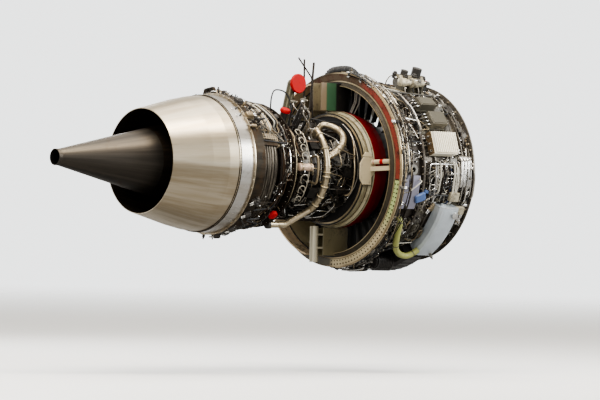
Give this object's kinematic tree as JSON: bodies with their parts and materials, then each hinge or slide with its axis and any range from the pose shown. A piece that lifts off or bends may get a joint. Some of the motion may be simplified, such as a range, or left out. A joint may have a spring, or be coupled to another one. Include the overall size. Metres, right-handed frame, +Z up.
{
  "type": "jet engine",
  "caption": "Bare turbofan engine with cowls off: fan, fan frame, bypass duct rings, core with bleed ducts, turbine, exhaust nozzle and long tail plug",
  "frame": {"origin": "centre of the inlet flange's front face, on the engine axis", "axes": "+X forward along the engine axis, +Y to port, +Z up"},
  "size_m": [3.66, 1.5598, 1.676],
  "materials": {
    "fan_case": "worn",
    "rub_strip": "worn",
    "guide_vanes": "worn",
    "frame_outer_ring": "worn",
    "outer_groove_ring": "worn",
    "seal_band_upper": "worn",
    "seal_band_lower": "worn",
    "duct_lip": "worn",
    "splitter_shroud": "worn",
    "inner_duct_wall": "worn",
    "inner_groove_ring": "worn",
    "firewall": "worn",
    "frame_hub": "worn",
    "booster_case": "worn",
    "booster_stators": "worn",
    "upper_bifurcation": "worn",
    "lower_bifurcation": "worn",
    "strut_starboard": "worn",
    "strut_port": "worn",
    "front_mount": "worn",
    "handling_bosses": "worn",
    "hpc_case": "worn",
    "hpc_stators": "worn",
    "combustor_case": "worn",
    "combustor_liner": "worn",
    "turbine_nozzle": "worn",
    "fuel_nozzles": "worn",
    "fuel_manifold": "worn",
    "turbine_case": "worn",
    "lpt_nozzles": "worn",
    "cooling_tubes": "worn",
    "cooling_manifold": "worn",
    "rear_frame": "worn",
    "exhaust_nozzle": "worn",
    "plug_front": "worn",
    "plug_tail": "worn",
    "bleed_duct": "worn",
    "bleed_elbow": "worn",
    "bleed_branch": "worn",
    "pylon_pipes": "worn",
    "bleed_riser": "worn",
    "riser_blank": "worn",
    "gearbox": "worn",
    "generator": "worn",
    "starter": "worn",
    "oil_tank": "worn",
    "control_boxes": "worn",
    "finned_box": "worn",
    "top_valve": "worn",
    "outer_races": "worn",
    "spinner": "worn",
    "fan_disc": "worn",
    "fan_blades": "worn",
    "booster_rotor": "worn",
    "fan_shaft": "worn",
    "lpt_rotor": "worn",
    "fan_bearings": "worn",
    "hpc_rotor": "worn",
    "hpt_rotor": "worn",
    "core_bearings": "worn"
  },
  "bodies": {
    "static": {"fan_case": "fan_case", "rub_strip": "rub_strip", "guide_vanes": "guide_vanes", "frame_outer_ring": "frame_outer_ring", "outer_groove_ring": "outer_groove_ring", "seal_band_upper": "seal_band_upper", "seal_band_lower": "seal_band_lower", "duct_lip": "duct_lip", "splitter_shroud": "splitter_shroud", "inner_duct_wall": "inner_duct_wall", "inner_groove_ring": "inner_groove_ring", "firewall": "firewall", "frame_hub": "frame_hub", "booster_case": "booster_case", "booster_stators": "booster_stators", "upper_bifurcation": "upper_bifurcation", "lower_bifurcation": "lower_bifurcation", "strut_starboard": "strut_starboard", "strut_port": "strut_port", "front_mount": "front_mount", "handling_bosses": "handling_bosses", "hpc_case": "hpc_case", "hpc_stators": "hpc_stators", "combustor_case": "combustor_case", "combustor_liner": "combustor_liner", "turbine_nozzle": "turbine_nozzle", "fuel_nozzles": "fuel_nozzles", "fuel_manifold": "fuel_manifold", "turbine_case": "turbine_case", "lpt_nozzles": "lpt_nozzles", "cooling_tubes": "cooling_tubes", "cooling_manifold": "cooling_manifold", "rear_frame": "rear_frame", "exhaust_nozzle": "exhaust_nozzle", "plug_front": "plug_front", "plug_tail": "plug_tail", "bleed_duct": "bleed_duct", "bleed_elbow": "bleed_elbow", "bleed_branch": "bleed_branch", "pylon_pipes": "pylon_pipes", "bleed_riser": "bleed_riser", "riser_blank": "riser_blank", "gearbox": "gearbox", "generator": "generator", "starter": "starter", "oil_tank": "oil_tank", "control_boxes": "control_boxes", "finned_box": "finned_box", "top_valve": "top_valve", "outer_races": "outer_races"},
    "fan_spool": {"spinner": "spinner", "fan_disc": "fan_disc", "fan_blades": "fan_blades", "booster_rotor": "booster_rotor", "fan_shaft": "fan_shaft", "lpt_rotor": "lpt_rotor", "fan_bearings": "fan_bearings"},
    "core_spool": {"hpc_rotor": "hpc_rotor", "hpt_rotor": "hpt_rotor", "core_bearings": "core_bearings"}
  },
  "joints": [
    {"name": "fan_turn", "type": "hinge", "parent": "static", "child": "fan_spool", "pos_m": [-0.37, 0, 0], "axis": [1, 0, 0], "continuous": true},
    {"name": "core_turn", "type": "hinge", "parent": "static", "child": "core_spool", "pos_m": [-1.21, 0, 0], "axis": [1, 0, 0], "continuous": true}
  ]
}
